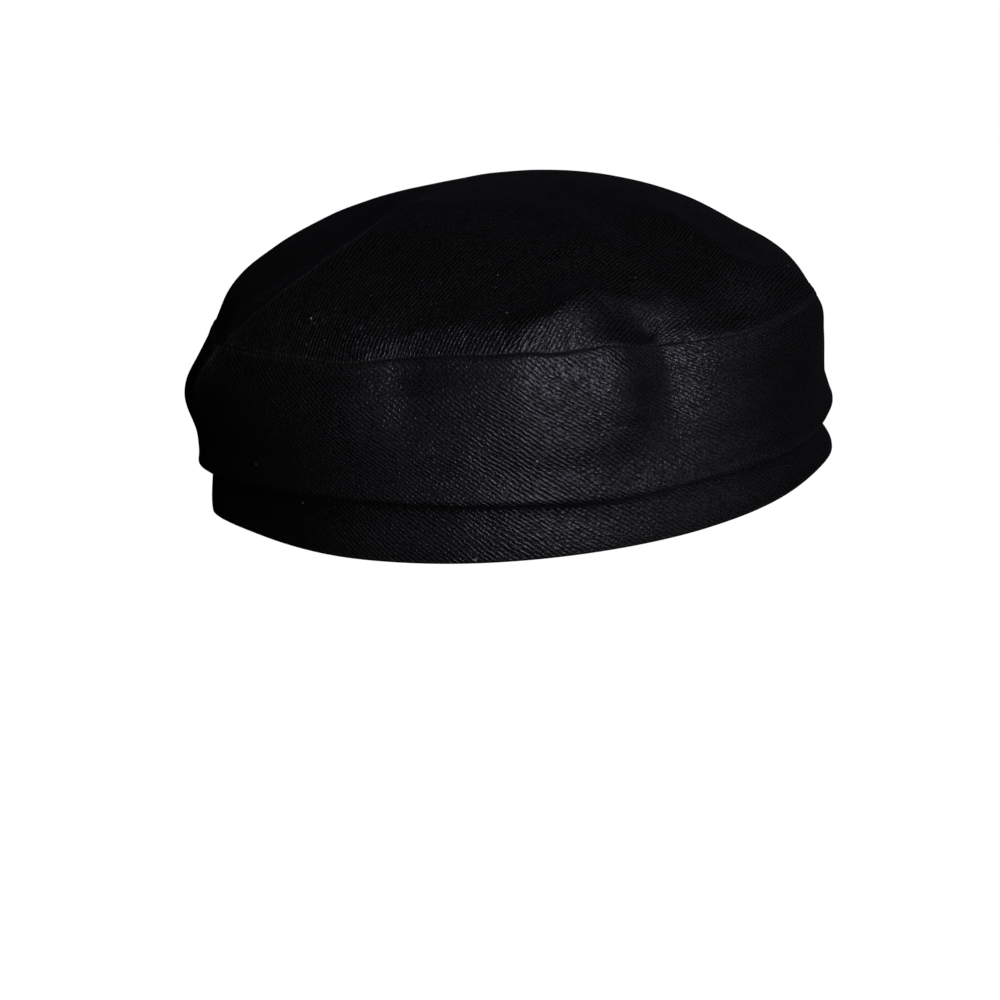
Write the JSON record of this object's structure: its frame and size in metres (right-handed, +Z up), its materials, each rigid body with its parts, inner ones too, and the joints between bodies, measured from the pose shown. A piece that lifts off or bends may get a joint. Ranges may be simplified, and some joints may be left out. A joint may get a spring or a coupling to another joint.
{
  "type": "sailor cap",
  "caption": "Soft brimless cap: a domed top with a crease and dents, a wide bulging side band folded under, and a narrow headband that stands on its flat hem.",
  "frame": {"origin": "on the surface that the hem stands on, under the middle of the cap's box", "axes": "+Z up, +Y towards the wearer's front, +X towards the wearer's right"},
  "size_m": [0.1984, 0.1894, 0.094],
  "materials": {
    "headband_twill": "matte black cotton twill, with a rolled hem",
    "side_band_twill": "matte black cotton twill, wales running down to the right",
    "crown_twill": "matte black cotton twill, wales running up to the right"
  },
  "bodies": {
    "root": {"headband": "headband_twill", "side_band": "side_band_twill", "crown_top": "crown_twill"}
  },
  "joints": []
}
